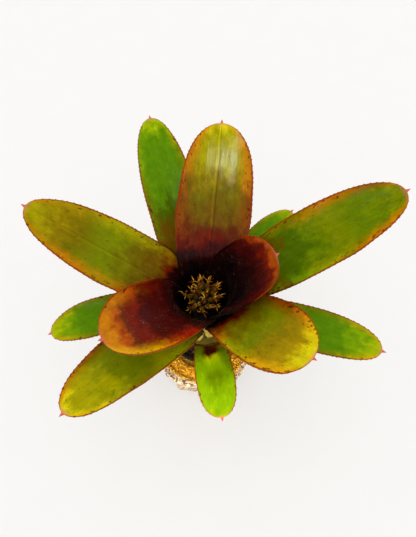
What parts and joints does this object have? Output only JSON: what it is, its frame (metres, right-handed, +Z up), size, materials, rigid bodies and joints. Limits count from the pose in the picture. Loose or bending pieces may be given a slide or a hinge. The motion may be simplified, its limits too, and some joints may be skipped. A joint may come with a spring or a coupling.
{
  "type": "potted neoregelia bromeliad",
  "caption": "Neoregelia bromeliad with olive and maroon strap leaves round a dark tank with a spent flower head, in a bark pot lined with coir.",
  "frame": {"origin": "Centre of the bark pot's flat underside, the face it stands on.", "axes": "+Z up along the pot's axis. -Y is the side with the short low leaf, where the pot shows under the rosette; +Y is the side of the tall back leaf, towards which the rosette and nursery pot are set back. +X is the right-hand side seen from -Y."},
  "size_m": [0.294, 0.2678, 0.2355],
  "materials": {
    "leaf_maroon": "glossy waxy leaf, near black at the centre, orange at the margins",
    "leaf_olive": "glossy waxy leaf, olive with orange margins and brown specks",
    "leaf_green": "glossy waxy leaf, fresh green with thin dark margins",
    "stem": "dull, scarred by old leaf bases",
    "dry_flower": "dry and papery, golden-brown",
    "soil": "damp dark chips and crumbs",
    "black_plastic": "semi-gloss black plastic",
    "coir": "coarse golden plant fibre",
    "bark": "pale flaky bark with dark brown furrows"
  },
  "bodies": {
    "root": {"leaf_inner_right": "leaf_maroon", "leaf_inner_left": "leaf_maroon", "leaf_back": "leaf_olive", "leaf_front_right": "leaf_olive", "leaf_left_long": "leaf_olive", "leaf_right_long": "leaf_olive", "leaf_front_left": "leaf_olive", "leaf_back_left": "leaf_green", "leaf_right_low": "leaf_green", "leaf_left_low": "leaf_green", "leaf_back_right_low": "leaf_green", "leaf_front_low": "leaf_green", "stem": "stem", "flower_head": "dry_flower", "potting_mix": "soil", "nursery_pot": "black_plastic", "coir_fill": "coir", "bark_pot": "bark"}
  },
  "joints": []
}
